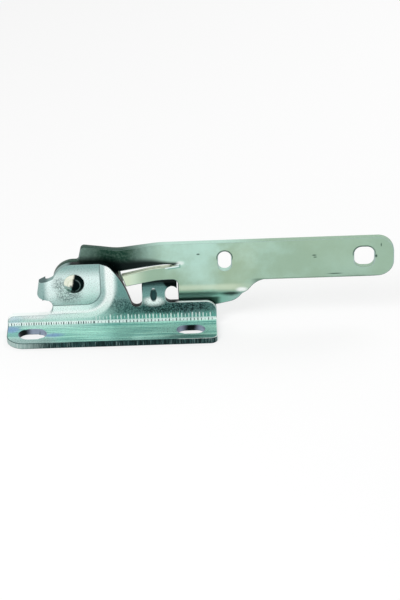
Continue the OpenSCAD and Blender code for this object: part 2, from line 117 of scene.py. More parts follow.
# Patches and small dark scratches on the arm: middle and reach
SLIT_END_HIGHLIGHT = ((68.6, 13, 45.0), (3.5, 8, 2.2))
LIP_STAIN = ((100.2, 16, 20.4), (8, 12, 3.6))
LIP_GLINT = ((107.5, 14, 24.6), (5.5, 8, 2.8))
SCRATCHES = [
    ((154.0, 13, 47.8), (2.0, 4, 0.6)),
    ((154.6, 13, 46.4), (1.6, 4, 0.5)),
    ((196.7, 13, 53.8), (0.5, 4, 1.8)),
    ((193.4, 13, 45.9), (1.3, 4, 1.6)),
    ((80.1, 13, 51.0), (1.6, 4, 0.8)),
    ((167.3, 13, 34.3), (7.0, 4, 0.5)),
]

# Holes of the arm: mount, straight half runs along X and Z, and radius of the outline
ARM_HOLES = [("arm_slot", (0.0, 2.5), 4.2), ("arm_hole", (1.6, 2.2), 4.8)]

# Patches on the rivet's head: middle and reach
RIVET_DENT = ((-1.8, 14, 31.3), (1.3, 6, 1.6))
RIVET_SCUFF = ((-3.6, 14, 28.0), (2.6, 6, 2.0))

# Stretch of the streaks that run across each sheet's edges
BRACKET_STREAKS = (1.5, 1.5, 0.08)
ARM_STREAKS = (1.1, 0.08, 1.1)

# Turn of a face's direction over which a front tint fades, and a top tint sets in
FRONT_TURN = 0.2
TOP_TURN = (0.2, 0.6)

# Gloss of the plating at a glancing angle
GLANCING_GLOSS = 0.15

# Tolerances of the sheet copies
MERGE_GAP = 1e-6
FLAT_ANGLE = math.radians(0.3)
SHARP_ANGLE = math.radians(32)
SHORT_EDGE = 1e-4
SLANT_ANGLE = math.radians(40)

# Shape and lean of the coining marks, and their widths as shares of the pitch
MARK_SEGMENTS, MARK_RINGS = 8, 6
SHORTEST_MARK = 0.45
FOLD_LEAN = math.radians(45)
FINE_WIDTH, COARSE_WIDTH, RUB_WIDTH = 1 / 2, 1 / 3, 1 / 2
RUB_RISE = 1 / 4

# Picture size that the camera is set for
PICTURE = (400, 600)

# Floor and lamps, in metres, and the share of plain white in the floor
FLOOR_HALF = 3.0
FLOOR_WHITE = 0.65
LAMP_SIZE = 0.7
KEY_PLACE = Vector((-0.35, -0.7, 0.9))
FILL_PLACE = Vector((0.6, 0.6, 0.8))


def colour_property(name, description, default):
    """A colour that a user can change."""
    return FloatVectorProperty(
        name=name, description=description, default=default, subtype="COLOR", size=4, min=0, max=1
    )


def length_property(name, description, millimetres):
    """A length that a user can change, with its default given in millimetres."""
    return FloatProperty(name=name, description=description, default=millimetres * MM, unit="LENGTH")


class HingeSheetSizes(PropertyGroup):
    """Edges of the pressed sheets."""

    die_roll: length_property("Die roll", "Rounding along the sheared edges of the sheets", 0.5)
    die_steps: IntProperty(name="Die roll steps", description="Faces across a rounded edge", default=3)
    crease: FloatProperty(
        name="Crease",
        description="Least turn between two faces that counts as a sheared edge",
        default=SHARP_ANGLE,
        subtype="ANGLE",
    )
    sheet: length_property("Bracket sheet", "Thickness of the bracket's sheet", 4.0)
    fold: length_property("Fold radius", "Inner radius of the bracket's fold", 2.0)


class HingeColours(PropertyGroup):
    """Colours of the plated steel."""

    bracket_pale: colour_property("Bracket, pale", "Light zinc of the bracket", (0.78, 0.92, 0.90, 1))
    bracket_deep: colour_property("Bracket, deep", "Green tint of the bracket", (0.58, 0.80, 0.74, 1))
    flange_pale: colour_property("Flange, pale", "Light lines along the flange", (0.55, 0.95, 0.80, 1))
    flange_deep: colour_property("Flange, deep", "Dark lines along the flange", (0.17, 0.46, 0.41, 1))
    # Painted shade: this grey darkens the web's right half, the recess's wall and slope, the plateau, the lug, the
    # tab and the flange's front; it is also the second tone of the coining marks
    shade_and_tick_grey: colour_property("Web, grey", "Worn zinc on the right of the web", (0.15, 0.31, 0.29, 1))
    arm_pale: colour_property("Arm, pale", "Light zinc of the arm", (0.48, 0.71, 0.62, 1))
    arm_deep: colour_property("Arm, deep", "Green tint of the arm", (0.33, 0.48, 0.36, 1))
    # Painted highlight on the bend above the lip and on the tongue's top edge; also the pale left of the tongue
    # and a tint on the rivet
    cream_highlight_and_tint: colour_property("Cream", "Rubbed zinc on bends and on the tongue", (0.68, 0.78, 0.60, 1))
    # Painted highlight on the brow, fold, lug foot, dart, upper edges, slit end and lip; also the colour of the
    # bright rubs above the fold
    highlight_and_rub: colour_property("Rubbed", "Bright rubbed zinc of the bracket's bends", (0.92, 0.98, 0.96, 1))
    # Painted shade: the deep green of the lip that is bent back, and the dark outline at the slit's end
    lip: colour_property("Lip", "Deep green of the guide lip", (0.17, 0.40, 0.32, 1))
    warm: colour_property("Warm tint", "Straw tint in the plating", (0.50, 0.56, 0.33, 1))
    violet: colour_property("Violet tint", "Violet bloom beside the left slot", (0.22, 0.33, 0.66, 1))
    # Dark staining that also serves as painted shade on the set, the hole rims, the bar's lower rim and where the
    # bracket laps the lip
    stain_and_shade: colour_property("Stain", "Dark green stain on the arm's set", (0.008, 0.042, 0.026, 1))
    # Painted shade in gaps, and the painted dark reflection on the rivet's head
    shade: colour_property("Shade", "Black of gaps and of the rivet's dark side", (0.002, 0.006, 0.006, 1))
    # Dark specks and grime, and also painted shade in the crease, on the lug, in the dart and on edges
    specks_and_shade: colour_property("Specks", "Dark specks and grime in the plating", (0.02, 0.065, 0.065, 1))
    # Painted shade: lavender grey on the walls in the slots
    slot_wall_shade: colour_property("Slot walls", "Lavender grey of the walls in the slots", (0.30, 0.36, 0.46, 1))
    edge: colour_property("Sheared edge", "Dull steel of the sheared edges", (0.30, 0.44, 0.42, 1))
    bare: colour_property("Bare edge", "Bright steel of edges that face up", (0.84, 0.90, 0.85, 1))
    rivet: colour_property("Rivet", "Bright steel of the rivet", (0.86, 0.88, 0.76, 1))
    washer: colour_property("Washer", "Dull zinc of the washers", (0.46, 0.54, 0.50, 1))


class HingeFoldMarks(PropertyGroup):
    """Coining marks that the press brake left along the fold."""

    fine_pitch: length_property("Fine pitch", "Distance from mark to mark on the left", 1.6)
    coarse_pitch: length_property("Coarse pitch", "Distance from mark to mark on the right", 2.3)
    change: length_property("Change", "Where the fine marks end and the coarse marks start", 12.0)
    length: length_property("Length", "Length of a mark across the fold", 3.2)
    height: length_property("Height", "Height of a mark above the sheet", 0.4)
    rub_length: length_property("Rub length", "Length of a bright rub above the fold", 5.0)
    rub_height: length_property("Rub height", "Height of a rub above the sheet", 0.12)
    inset: length_property("Inset", "Distance from the bracket's ends to the row of marks", 2.5)
    seed: IntProperty(name="Seed", description="Seed of the marks' uneven lengths", default=7)


class HingeStudio(PropertyGroup):
    """Camera, lamps and floor."""

    elevation: FloatProperty(
        name="Elevation", description="Camera above the horizon", default=math.radians(28), subtype="ANGLE"
    )
    roll: FloatProperty(
        name="Roll", description="Rise of the hinge to the right", default=math.radians(1.8), subtype="ANGLE"
    )
    distance: length_property("Distance", "Camera to pivot", 1500)
    pixel: length_property("Pixel", "Size of a picture pixel at the pivot", 0.64)
    pivot_x: FloatProperty(name="Pivot X", description="Pivot in the picture, from the left", default=73.8)
    pivot_y: FloatProperty(name="Pivot Y", description="Pivot in the picture, from the top", default=285.4)
    floor: colour_property("Floor", "Colour of the floor", (0.92, 0.92, 0.92, 1))
    ambient: FloatProperty(name="Ambient", description="Light from all round", default=0.45)
    key_power: FloatProperty(name="Key", description="Lamp over the front left", default=9.0, unit="POWER")
    fill_power: FloatProperty(name="Fill", description="Lamp over the back right", default=4.0, unit="POWER")


# Shader nodes


def place(tree, kind, inputs=None, **settings):
    """Adds a node, sets its options and fills or links its inputs."""
    node = tree.nodes.new(kind)
    for name, value in settings.items():
        setattr(node, name, value)
    for key, value in (inputs or {}).items():
        socket = node.inputs[key]
        if isinstance(value, bpy.types.NodeSocket):
            tree.links.new(value, socket)
        else:
            socket.default_value = value
    return node


def calculate(tree, operation, a, b=0.0):
    """Result of one sum."""
    return place(tree, "ShaderNodeMath", {0: a, 1: b}, operation=operation).outputs[0]


def blend(tree, factor, a, b):
    """Colour a turned into colour b by a factor."""
    return place(tree, "ShaderNodeMix", {0: factor, 6: a, 7: b}, data_type="RGBA").outputs[2]


def fade(tree, value, low, high, to_low=0.0, to_high=1.0):
    """A value carried smoothly from one range to another."""
    inputs = {0: value, 1: low, 2: high, 3: to_low, 4: to_high}
    return place(tree, "ShaderNodeMapRange", inputs, interpolation_type="SMOOTHSTEP").outputs[0]


def fall(tree, value, low, high):
    """1 up to a low value, falling smoothly to 0 at a high one."""
    return fade(tree, value, low, high, 1.0, 0.0)


def band(tree, value, centre, half, soft):
    """1 within a half width of a centre, falling to 0 over a soft rim."""
    off = calculate(tree, "ABSOLUTE", calculate(tree, "SUBTRACT", value, centre))
    return fall(tree, off, half, half + soft)


def meet(tree, *masks):
    """Mask of where all these masks meet."""
    cover = masks[0]
    for mask in masks[1:]:
        cover = calculate(tree, "MULTIPLY", cover, mask)
    return cover


def paint(tree, colour, coat, *masks):
    """A colour with a coat of another over it, where all the masks meet."""
    return blend(tree, meet(tree, *masks), colour, coat)


def noise(tree, vector, scale, detail=2.0, roughness=0.5):
    """Cloudy values about 0.5."""
    inputs = {"Vector": vector, "Scale": scale, "Detail": detail, "Roughness": roughness}
    return place(tree, "ShaderNodeTexNoise", inputs).outputs[0]


def stretch(tree, vector, scale, shift=(0, 0, 0)):
    """Coordinates scaled and shifted along each axis."""
    inputs = {"Vector": vector, "Scale": scale, "Location": shift}
    return place(tree, "ShaderNodeMapping", inputs).outputs[0]


def vector_length(tree, vector):
    """Length of a vector."""
    return place(tree, "ShaderNodeVectorMath", {0: vector}, operation="LENGTH").outputs["Value"]


def new_group(name, inputs, outputs):
    """An empty shader group with named sockets."""
    tree = bpy.data.node_groups.new(name, "ShaderNodeTree")
    for label, kind in inputs:
        tree.interface.new_socket(label, in_out="INPUT", socket_type="NodeSocket" + kind)
    for label, kind in outputs:
        tree.interface.new_socket(label, in_out="OUTPUT", socket_type="NodeSocket" + kind)
    start = tree.nodes.new("NodeGroupInput")
    end = tree.nodes.new("NodeGroupOutput")
    return tree, start.outputs, end.inputs


def shared_group(name, build):
    """A shader group that is built once and then shared."""
    return bpy.data.node_groups.get(name) or build(name)


def build_plate_tint(name):
    """Clouds of pale, green and straw zinc."""
    inputs = [("Vector", "Vector"), ("Pale", "Color"), ("Deep", "Color"), ("Warm", "Color")]
    inputs += [("Cloud Size", "Float"), ("Warm Share", "Float")]
    tree, given, result = new_group(name, inputs, [("Color", "Color")])
    scale = calculate(tree, "DIVIDE", 1.0, given["Cloud Size"])
    clouds = fade(tree, noise(tree, given["Vector"], scale, 5.0, 0.6), 0.34, 0.68)
    tinted = blend(tree, clouds, given["Pale"], given["Deep"])
    shifted = stretch(tree, given["Vector"], (0.7, 0.7, 0.7), (31, 17, 5))
    straw = fade(tree, noise(tree, shifted, scale, 3.0), 0.46, 0.72)
    straw = calculate(tree, "MULTIPLY", straw, given["Warm Share"])
    tree.links.new(blend(tree, straw, tinted, given["Warm"]), result["Color"])
    return tree


def build_sheet_grain(name):
    """Fine grain of plated sheet and the dark specks in it."""
    inputs = [("Vector", "Vector"), ("Grain Size", "Float"), ("Speck Share", "Float")]
    tree, given, result = new_group(name, inputs, [("Height", "Float"), ("Specks", "Float")])
    scale = calculate(tree, "DIVIDE", 1.0, given["Grain Size"])
    tree.links.new(noise(tree, given["Vector"], scale, 3.0, 0.65), result["Height"])
    fine = noise(tree, stretch(tree, given["Vector"], (1.4, 1.4, 1.4), (9, 4, 2)), scale, 2.0, 0.7)
    limit = calculate(tree, "SUBTRACT", 0.72, calculate(tree, "MULTIPLY", given["Speck Share"], 0.3))
    tree.links.new(fade(tree, fine, limit, calculate(tree, "ADD", limit, 0.1)), result["Specks"])
    return tree


def build_soft_patch(name):
    """Mask of an uneven patch about a centre."""
    inputs = [("Vector", "Vector"), ("Centre", "Vector"), ("Reach", "Vector"), ("Ragged", "Float")]
    tree, given, result = new_group(name, inputs, [("Mask", "Float")])
    ends = {0: given["Vector"], 1: given["Centre"]}
    away = place(tree, "ShaderNodeVectorMath", ends, operation="SUBTRACT").outputs[0]
    shares = {0: away, 1: given["Reach"]}
    share = place(tree, "ShaderNodeVectorMath", shares, operation="DIVIDE").outputs[0]
    reach = vector_length(tree, share)
    rough = calculate(tree, "SUBTRACT", noise(tree, given["Vector"], 0.16, 4.0, 0.6), 0.5)
    reach = calculate(tree, "ADD", reach, calculate(tree, "MULTIPLY", rough, given["Ragged"]))
    tree.links.new(fall(tree, reach, 0.25, 1.0), result["Mask"])
    return tree


def use_group(tree, name, build, inputs):
    """Places a shared group with its own values and returns its outputs."""
    group = shared_group(name, build)
    return place(tree, "ShaderNodeGroup", inputs, node_tree=group).outputs


def plate_tint(tree, vector, pale, deep, warm, cloud, share):
    """Plating colour of one piece."""
    inputs = {"Vector": vector, "Pale": pale, "Deep": deep, "Warm": warm}
    inputs.update({"Cloud Size": cloud, "Warm Share": share})
    return use_group(tree, "plate_tint", build_plate_tint, inputs)["Color"]


def sheet_grain(tree, vector, size, specks):
    """Grain height and speck mask of one piece."""
    inputs = {"Vector": vector, "Grain Size": size, "Speck Share": specks}
    outputs = use_group(tree, "sheet_grain", build_sheet_grain, inputs)
    return outputs["Height"], outputs["Specks"]


def soft_patch(tree, vector, centre, reach, ragged=0.8):
    """Mask of one patch, with its place in millimetres."""
    inputs = {"Vector": vector, "Centre": centre, "Reach": reach, "Ragged": ragged}
    return use_group(tree, "soft_patch", build_soft_patch, inputs)["Mask"]


def new_material(name):
    """A material with its shader, and the piece's coordinates in millimetres."""
    material = bpy.data.materials.new(name)
    material.use_nodes = True
    tree = material.node_tree
    shader = tree.nodes["Principled BSDF"]
    here = place(tree, "ShaderNodeTexCoord").outputs["Object"]
    vector = stretch(tree, here, (1 / MM, 1 / MM, 1 / MM))
    return material, tree, shader, vector


def split_axes(tree, vector):
    """The three parts of a vector."""
    parts = place(tree, "ShaderNodeSeparateXYZ", {0: vector}).outputs
    return parts["X"], parts["Y"], parts["Z"]


def facing(tree):
    """The direction that the surface faces, on the piece's own axes."""
    return split_axes(tree, place(tree, "ShaderNodeTexCoord").outputs["Normal"])


def front_skin(tree):
    """1 on faces that look to the front."""
    return fall(tree, facing(tree)[1], -FRONT_TURN, FRONT_TURN)


def finish_metal(tree, shader, colour, roughness, height, depth_mm, metallic=1.0):
    """Wires a metal's colour, roughness and relief to its shader."""
    shader.inputs["Metallic"].default_value = metallic
    shader.inputs["Specular IOR Level"].default_value = GLANCING_GLOSS
    tree.links.new(colour, shader.inputs["Base Color"])
    tree.links.new(roughness, shader.inputs["Roughness"])
    inputs = {"Height": height, "Distance": depth_mm * MM, "Strength": 1.0}
    bump = place(tree, "ShaderNodeBump", inputs)
    tree.links.new(bump.outputs["Normal"], shader.inputs["Normal"])


def recess_distance(tree, x, z):
    """Distance outside the foot of the recess's wall, along the face of the web."""
    right = calculate(tree, "MAXIMUM", calculate(tree, "SUBTRACT", x, RECESS_CENTRE[0]), 0.0)
    down = calculate(tree, "MAXIMUM", calculate(tree, "SUBTRACT", RECESS_CENTRE[1], z), 0.0)
    away = place(tree, "ShaderNodeCombineXYZ", {"X": right, "Y": down}).outputs[0]
    return calculate(tree, "SUBTRACT", vector_length(tree, away), RECESS_CORNER)


def paint_web(tree, vector, colour, colours, coarse, front):
    """Painted dark reflection on the right half of the web, its grime and the green spikes above the fold."""
    x, _, z = split_axes(tree, vector)
    # Painted dark reflection: grey over the lower right half of the web
    right_half = fade(tree, x, 4.0, 34.0)
    low = fall(tree, z, 18.0, 32.0)
    colour = paint(tree, colour, colours.shade_and_tick_grey, right_half, low, front, 0.95)
    grime = soft_patch(tree, vector, *FOLD_GRIME, 0.5)
    mottled = fade(tree, coarse, 0.0, 1.0, 0.5, 1.0)
    colour = paint(tree, colour, colours.specks_and_shade, grime, mottled, front)
    core = fade(tree, grime, 0.3, 0.8)
    clots = fade(tree, coarse, 0.4, 0.9)
    colour = paint(tree, colour, colours.shade, core, clots, front, 0.8)
    grime = soft_patch(tree, vector, *SLOPE_GRIME, 0.6)
    colour = paint(tree, colour, colours.specks_and_shade, grime, coarse, front)
    columns = noise(tree, stretch(tree, vector, (1.5, 0, 0.02)), 1.0, 2.0, 0.7)
    tips = fade(tree, columns, 0.3, 0.75, 5.6, 12.0)
    spikes = fall(tree, calculate(tree, "SUBTRACT", z, tips), -1.2, 0.4)
    spiked = fade(tree, x, 6.0, 26.0)
    return paint(tree, colour, colours.flange_deep, spikes, spiked, front, 0.85)


def paint_recess(tree, vector, colour, colours, coarse, front):
    """Painted shade on the recess's wall and the slope round it, a painted highlight on its bright brow, and the
    plateau in it with painted shade at top and bottom, grime, and painted shade in the crease at the wall's foot.
    """
    x, _, z = split_axes(tree, vector)
    foot = recess_distance(tree, x, z)
    # Painted shade on the recess's right wall and on the slope round it
    wall = band(tree, foot, 1.8, 1.2, 1.6)
    colour = paint(tree, colour, colours.shade_and_tick_grey, wall, fade(tree, x, 7.0, 15.0), front, 0.5)
    slope = meet(tree, fade(tree, foot, 7.8, 12.0), fade(tree, z, 18.0, 24.0))
    colour = paint(tree, colour, colours.shade_and_tick_grey, slope, front)
    # Painted highlight along the brow
    brow = band(tree, foot, 6.0, 1.3, 2.5)
    colour = paint(tree, colour, colours.highlight_and_rub, brow, front)
    # Painted shade at the plateau's bottom and top
    plateau = fall(tree, foot, -0.4, 0.0)
    colour = paint(tree, colour, colours.shade_and_tick_grey, plateau, fall(tree, z, 15.0, 25.0), front, 0.5)
    colour = paint(tree, colour, colours.shade_and_tick_grey, plateau, fade(tree, z, 34.0, 44.0), front, 0.8)
    for spot, reach in PLATEAU_GRIME:
        grime = soft_patch(tree, vector, spot, reach, 0.6)
        colour = paint(tree, colour, colours.specks_and_shade, grime, coarse, front, 0.8)
    # Painted shade in the crease at the wall's foot
    crease = band(tree, foot, 0.1, 0.15, 0.3)
    return paint(tree, colour, colours.specks_and_shade, crease, front, 0.7)


def paint_stops(tree, vector, colour, colours, front):
    """Painted highlight on the foot of the closing stop's lug, painted shade on its top and in its dart, and
    painted shade on the open stop's tab.
    """
    x, y, z = split_axes(tree, vector)
    lug = band(tree, x, LUG_X, LUG_HALF, 0.6)
    # Painted highlight on the lug's foot, and painted shade up its bend to its top
    colour = paint(tree, colour, colours.highlight_and_rub, soft_patch(tree, vector, *LUG_FOOT_HIGHLIGHT, 0.3), front)
    colour = paint(tree, colour, colours.shade_and_tick_grey, lug, fade(tree, z, 19.5, 23.5), front)
    colour = paint(tree, colour, colours.specks_and_shade, lug, fade(tree, z, 23.0, 27.0), front, 0.4)
    above = calculate(tree, "SUBTRACT", z, fade(tree, x, 56.5, 60.0, 28.2, 26.0))
    near = fall(tree, y, 19.0, 21.0)
    colour = paint(tree, colour, colours.shade, lug, fade(tree, above, 0.0, 1.6), near)
    # Painted shade in the dart's dent, with painted glints
    dart = soft_patch(tree, vector, *DART, 0.0)
    colour = paint(tree, colour, colours.specks_and_shade, fade(tree, dart, 0.15, 0.4), 0.95)
    for spot, reach in DART_GLINTS:
        colour = paint(tree, colour, colours.highlight_and_rub, soft_patch(tree, vector, spot, reach, 0.0))
    # Painted shade on the tab's left side
    tab = fall(tree, x, -20.5, -16.0)
    return paint(tree, colour, colours.shade_and_tick_grey, tab, fade(tree, z, 12.0, 14.0), 0.8)


def flange_tint(tree, vector, colours):
    """Lines along the flange, with painted shade towards its front and paler at its back, with patches on them."""
    x, y, _ = split_axes(tree, vector)
    lines = noise(tree, stretch(tree, vector, (0.015, 0.5, 0.5)), 1.0, 3.0, 0.7)
    colour = blend(tree, fade(tree, lines, 0.36, 0.64), colours.flange_pale, colours.flange_deep)
    # Painted shade towards the flange's front
    colour = paint(tree, colour, colours.shade_and_tick_grey, fall(tree, y, -12.0, -6.0), 0.45)
    back = fade(tree, y, 4.0, 11.0)
    left = fall(tree, x, -10.0, 30.0)
    colour = paint(tree, colour, colours.bracket_pale, back, left, 0.4)
    for coat, spot, reach, cover in FLANGE_PATCHES:
        patch = soft_patch(tree, vector, spot, reach)
        colour = paint(tree, colour, getattr(colours, coat), patch, cover)
    return colour


def bracket_plate(colours):
    """Blue-green zinc of the bracket: painted highlights on the bends, painted dark reflection and grime on the
    right half, and lines along the flange.
    """
    material, tree, shader, vector = new_material("bracket_plate")
    _, y, z = split_axes(tree, vector)
    front = front_skin(tree)
    height, specks = sheet_grain(tree, vector, size=0.55, specks=0.35)
    coarse = fade(tree, noise(tree, vector, 1.1, 4.0, 0.7), 0.36, 0.62)
    pale, deep = colours.bracket_pale, colours.bracket_deep
    colour = plate_tint(tree, vector, pale, deep, colours.warm, cloud=26.0, share=0.1)
    colour = paint_web(tree, vector, colour, colours, coarse, front)
    colour = paint_recess(tree, vector, colour, colours, coarse, front)
    colour = paint_stops(tree, vector, colour, colours, front)
    colour = paint(tree, colour, flange_tint(tree, vector, colours), fall(tree, z, 4.2, 5.6))
    # Painted highlight along the fold
    fold = meet(tree, band(tree, z, 5.0, 0.7, 0.5), band(tree, y, 12.5, 0.7, 0.5))
    colour = paint(tree, colour, colours.highlight_and_rub, fold, 0.6)
    colour = paint(tree, colour, colours.specks_and_shade, specks, 0.4)
    rough = fade(tree, height, 0.3, 0.7, 0.24, 0.38)
    finish_metal(tree, shader, colour, rough, height, depth_mm=0.02, metallic=0.5)
    return material


def above_slit(tree, x, z):
    """1 above the slit over the tongue and on the left of its free end."""
    before_knee = calculate(tree, "MAXIMUM", calculate(tree, "SUBTRACT", SLIT_KNEE[0], x), 0.0)
    drop = calculate(tree, "MULTIPLY", before_knee, SLIT_FALL)
    line = calculate(tree, "SUBTRACT", SLIT_KNEE[1], drop)
    above = fade(tree, calculate(tree, "SUBTRACT", z, line), 0.0, 0.5)
    return calculate(tree, "MAXIMUM", above, fall(tree, x, 28.0, 30.0))


def hole_distance(tree, x, z, name, run, radius):
    """Distance outside a hole of the arm, given the straight half runs and the radius of its outline."""
    centre = MOUNTS[name]["pos_m"]
    parts = []
    for value, middle, half in ((x, centre[0], run[0]), (z, centre[2], run[1])):
        off = calculate(tree, "ABSOLUTE", calculate(tree, "SUBTRACT", value, middle / MM))
        parts.append(calculate(tree, "MAXIMUM", calculate(tree, "SUBTRACT", off, half), 0.0))
    away = place(tree, "ShaderNodeCombineXYZ", {"X": parts[0], "Y": parts[1]}).outputs[0]
    return calculate(tree, "SUBTRACT", vector_length(tree, away), radius)


def paint_set(tree, vector, colour, colours, over, front):
    """Dark staining and painted shade where the sheet is set back, and the painted black shade of the gap above
    the slit.
    """
    x, _, z = split_axes(tree, vector)
    # Dark staining with painted shade over the set
    ragged = fade(tree, noise(tree, vector, 0.5, 5.0, 0.7), 0.3, 0.6, 0.88, 1.0)
    dark = meet(tree, fade(tree, x, 4.0, 22.0, 0.75, 1.0), fall(tree, x, 32.0, 62.0))
    colour = paint(tree, colour, colours.stain_and_shade, dark, ragged, over, front)
    # Painted black shade in the gap above the slit
    gap = calculate(tree, "SUBTRACT", z, SLIT_KNEE[1])
    gap = calculate(tree, "ADD", gap, fade(tree, x, 30.0, 54.0, 5.0, 0.0))
    gap = calculate(tree, "DIVIDE", gap, fade(tree, x, 34.0, 68.0, 9.0, 3.4))
    gap = fall(tree, gap, 0.55, 1.2)
    return paint(tree, colour, colours.shade, gap, over, fall(tree, x, 66.0, 69.0), front, 0.97)


def paint_tongue(tree, vector, colour, colours, over, front):
    """Pale yellow tongue below the slit, and the painted highlights of the rub and of the pale ledge at the slit's
    end, with painted shade round the ledge.
    """
    x, _, z = split_axes(tree, vector)
    tongue = meet(tree, calculate(tree, "SUBTRACT", 1.0, over), fade(tree, z, 26.0, 30.0))
    colour = paint(tree, colour, colours.arm_deep, tongue, band(tree, x, 50.0, 6.0, 8.0))
    colour = paint(tree, colour, colours.cream_highlight_and_tint, tongue, fall(tree, x, 32.0, 50.0))
    # Painted highlight at the slit's end
    rub = soft_patch(tree, vector, *SLIT_END_HIGHLIGHT, 0.4)
    colour = paint(tree, colour, colours.highlight_and_rub, rub, front, 0.6)
    # Painted shade round a painted highlight of a ledge at the slit's end
    past_knee = calculate(tree, "SUBTRACT", x, SLIT_KNEE[0])
    rise = calculate(tree, "MULTIPLY", past_knee, SLIT_RISE)
    depth = calculate(tree, "SUBTRACT", calculate(tree, "ADD", rise, SLIT_KNEE[1]), z)
    outline = meet(tree, band(tree, depth, 1.5, 1.0, 0.5), band(tree, x, 64.6, 3.6, 1.0))
    colour = paint(tree, colour, colours.lip, outline, front, 0.8)
    ledge = meet(tree, band(tree, depth, 1.0, 0.7, 0.5), band(tree, x, 63.2, 4.0, 1.0))
    return paint(tree, colour, colours.bracket_pale, ledge, front)


def paint_lip(tree, vector, colour, colours, front):
    """Painted highlight on the bend above the guide lip, painted shade in the lip's deep green, and the shade
    where the bracket laps it.
    """
    x, _, z = split_axes(tree, vector)
    lip = fade(tree, x, 64.0, 67.0)
    heel = fade(tree, x, 100.0, 112.0, 1.0, 0.3)
    # Painted highlight on the bend above the lip, and painted shade in the lip's deep green
    colour = paint(tree, colour, colours.cream_highlight_and_tint, lip, band(tree, z, 26.8, 0.8, 2.8), heel, front, 0.6)
    colour = paint(tree, colour, colours.lip, lip, fall(tree, z, 20.0, 26.0), front)
    free = fade(tree, x, 94.0, 104.0)
    colour = paint(tree, colour, colours.edge, free, fall(tree, z, 19.0, 23.0), front, 0.6)
    colour = paint(tree, colour, colours.flange_pale, lip, fall(tree, z, 18.0, 21.5), front, 0.15)
    colour = paint(tree, colour, colours.stain_and_shade, soft_patch(tree, vector, *LIP_STAIN, 0.4), front)
    colour = paint(tree, colour, colours.highlight_and_rub, soft_patch(tree, vector, *LIP_GLINT, 0.3), front)
    lapped = meet(tree, lip, fall(tree, x, 91.0, 95.0))
    return paint(tree, colour, colours.stain_and_shade, lapped, fall(tree, z, 16.8, 18.2), front, 0.9)


def paint_bar(tree, vector, colour, colours, front):
    """Painted shade on the upper rims of the two holes and along the lower rim, the deep tip and the scratches."""
    x, _, z = split_axes(tree, vector)
    # Painted shade on the upper rims of the holes
    upper = fade(tree, z, 45.5, 48.0)
    for name, run, radius in ARM_HOLES:
        rim = band(tree, hole_distance(tree, x, z, name, run, radius), 0.3, 0.5, 0.4)
        colour = paint(tree, colour, colours.stain_and_shade, rim, upper, front, 0.9)
    tip = fade(tree, x, 186.0, 198.0)
    colour = paint(tree, colour, colours.arm_deep, tip, front, 0.6)
    for spot, reach in SCRATCHES:
        scratch = soft_patch(tree, vector, spot, reach, 0.3)
        colour = paint(tree, colour, colours.stain_and_shade, scratch, front, 0.9)
    # Painted shade along the bar's lower rim
    rim = meet(tree, fall(tree, z, 31.9, 32.7), fade(tree, x, 112.0, 118.0))
    return paint(tree, colour, colours.stain_and_shade, rim, front, 0.5)


def arm_plate(colours):
    """Grey-green zinc of the arm: dark staining and painted shade where the sheet is set back, painted highlights
    on the bends.
    """
    material, tree, shader, vector = new_material("arm_plate")
    x, _, z = split_axes(tree, vector)
    front = front_skin(tree)
    height, specks = sheet_grain(tree, vector, size=0.6, specks=0.3)
    pale, deep = colours.arm_pale, colours.arm_deep
    tint = plate_tint(tree, vector, pale, deep, colours.warm, cloud=30.0, share=0.2)
    far = fade(tree, x, 90.0, 170.0, 0.0, 0.7)
    colour = blend(tree, far, tint, deep)
    over = above_slit(tree, x, z)
    colour = paint_set(tree, vector, colour, colours, over, front)
    colour = paint_tongue(tree, vector, colour, colours, over, front)
    colour = paint_lip(tree, vector, colour, colours, front)
    colour = paint_bar(tree, vector, colour, colours, front)
    colour = paint(tree, colour, colours.specks_and_shade, specks, 0.2)
    rough = fade(tree, height, 0.3, 0.7, 0.3, 0.44)
    finish_metal(tree, shader, colour, rough, height, depth_mm=0.02, metallic=0.6)
    return material


def sheared_steel(tree, vector, colours, along):
    """Steel streaked across a sheet's edge: its streaks and its colour."""
    streaks = noise(tree, stretch(tree, vector, along), 1.0, 3.0, 0.7)
    share = fade(tree, streaks, 0.35, 0.65, 0.0, 0.3)
    return streaks, blend(tree, share, colours.edge, colours.bare)


def finish_edge(tree, shader, colour, colours, streaks):
    """Paints shade on the edges that face down, and wires the edge's colour and relief."""
    # Painted shade on edges that face down
    under = fall(tree, facing(tree)[2], -0.35, 0.0)
    colour = paint(tree, colour, colours.specks_and_shade, under, 0.9)
    rough = fade(tree, streaks, 0.3, 0.7, 0.34, 0.5)
    finish_metal(tree, shader, colour, rough, streaks, depth_mm=0.04, metallic=0.6)


def arm_edge(colours):
    """Edges of the arm: plated on top, painted shade along the set, a painted highlight on the tongue's top and
    painted black shade beside the lug.
    """
    material, tree, shader, vector = new_material("arm_sheared")
    x, _, z = split_axes(tree, vector)
    side, _, up = facing(tree)
    streaks, colour = sheared_steel(tree, vector, colours, ARM_STREAKS)
    top = fade(tree, up, *TOP_TURN)
    colour = paint(tree, colour, colours.arm_deep, top)
    colour = paint(tree, colour, colours.arm_pale, top, fade(tree, x, 90.0, 130.0, 0.9, 0.0))
    # Painted shade on the edges along the set
    colour = paint(tree, colour, colours.stain_and_shade, fade(tree, up, -0.1, 0.3), fall(tree, x, 30.0, 62.0), 0.95)
    tongue = fall(tree, x, 68.0, 72.0)
    land = meet(tree, tongue, fade(tree, x, 24.0, 30.0))
    # Painted highlight on the tongue's top edge
    colour = paint(tree, colour, colours.cream_highlight_and_tint, top, land, fall(tree, z, 44.5, 46.0))
    # Painted black shade on the edges beside the lug
    left_side = fall(tree, side, -0.25, 0.0)
    low = fall(tree, z, 36.0, 38.0)
    colour = paint(tree, colour, colours.shade, left_side, low, tongue)
    finish_edge(tree, shader, colour, colours, streaks)
    return material


